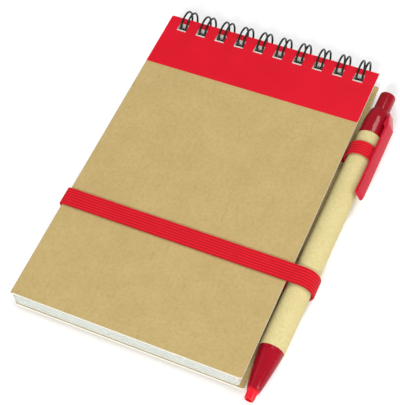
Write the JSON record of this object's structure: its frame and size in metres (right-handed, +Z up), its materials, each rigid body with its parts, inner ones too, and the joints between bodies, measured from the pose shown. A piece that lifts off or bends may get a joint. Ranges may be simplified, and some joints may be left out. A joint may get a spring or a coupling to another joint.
{
  "type": "pocket notebook",
  "caption": "Wire-bound pocket notebook with kraft covers, red header strip, elastic closure band and a click pen held in an elastic loop.",
  "frame": {"origin": "centre of the back cover's underside", "axes": "+X across the width towards the pen, +Y along the length towards the wire binding, +Z up out of the front cover"},
  "size_m": [0.1046, 0.151, 0.0134],
  "materials": {
    "cover_kraft": "uncoated kraft card",
    "header_red": "coloured paper, satin",
    "page_paper": "uncoated off-white paper",
    "binding_wire": "smooth dark coated wire",
    "red_elastic": "woven ribbed elastic",
    "barrel_paper": "rolled kraft paper tube",
    "red_plastic": "translucent moulded plastic",
    "white_plastic": "plain moulded plastic",
    "point_metal": "bare metal"
  },
  "bodies": {
    "rear_board": {"back_cover": "cover_kraft", "wire_binding": "binding_wire", "band_ends": "red_elastic", "pen_loop": "red_elastic"},
    "rear_pages": {"page_bundle_1": "page_paper", "page_bundle_2": "page_paper"},
    "middle_pages": {"page_bundle_3": "page_paper", "page_bundle_4": "page_paper"},
    "front_pages": {"page_bundle_5": "page_paper", "page_bundle_6": "page_paper"},
    "cover": {"front_cover": "cover_kraft", "header_strip": "header_red"},
    "band": {"closure_band": "red_elastic"},
    "pen": {"pen_barrel": "barrel_paper", "pen_cone": "red_plastic", "pen_cap": "red_plastic", "return_spring": "point_metal"},
    "clip": {"pen_clip": "red_plastic"},
    "button": {"pen_button": "red_plastic"},
    "rotor": {"click_rotor": "white_plastic"},
    "refill": {"refill_tube": "white_plastic", "refill_point": "point_metal"}
  },
  "joints": [
    {"name": "rear_pages_turn", "type": "hinge", "parent": "rear_board", "child": "rear_pages", "pos_m": [0, 0.0701, 0.00478], "axis": [-1, 0, 0], "range_deg": [0, 180]},
    {"name": "middle_pages_turn", "type": "hinge", "parent": "rear_pages", "child": "middle_pages", "pos_m": [0, 0.0701, 0.00478], "axis": [-1, 0, 0], "range_deg": [0, 180]},
    {"name": "front_pages_turn", "type": "hinge", "parent": "middle_pages", "child": "front_pages", "pos_m": [0, 0.0701, 0.00478], "axis": [-1, 0, 0], "range_deg": [0, 180]},
    {"name": "cover_turn", "type": "hinge", "parent": "front_pages", "child": "cover", "pos_m": [0, 0.0701, 0.00478], "axis": [-1, 0, 0], "range_deg": [0, 180]},
    {"name": "band_release", "type": "hinge", "parent": "rear_board", "child": "band", "pos_m": [0, -0.0261, 0.0009], "axis": [1, 0, 0], "range_deg": [0, 180], "deforming": ["closure_band"]},
    {"name": "pen_pull", "type": "slide", "parent": "rear_board", "child": "pen", "axis": [0.012, 0.9999, 0], "range_m": [0, 0.13]},
    {"name": "clip_flex", "type": "hinge", "parent": "pen", "child": "clip", "pos_m": [0.0554, 0.04923, 0.00675], "axis": [-0.4226, 0.0051, 0.9063], "range_deg": [0, 4], "stiffness_Nm_per_rad": 0.5},
    {"name": "button_press", "type": "slide", "parent": "pen", "child": "button", "axis": [-0.012, -0.9999, 0], "range_m": [0, 0.0042], "stiffness_N_per_m": 300, "springref_m": -0.004, "deforming": ["return_spring"]},
    {"name": "rotor_turn", "type": "hinge", "parent": "button", "child": "rotor", "pos_m": [0.04911, -0.0743, 0.00451], "axis": [0.012, 0.9999, 0], "range_deg": [0, 46]},
    {"name": "refill_slide", "type": "slide", "parent": "pen", "child": "refill", "axis": [-0.012, -0.9999, 0], "range_m": [0, 0.0043]}
  ],
  "couplings": [
    {"joint": "rotor_turn", "follows": "button_press", "rad_per_m": 187},
    {"joint": "refill_slide", "follows": "button_press", "ratio": 1}
  ]
}
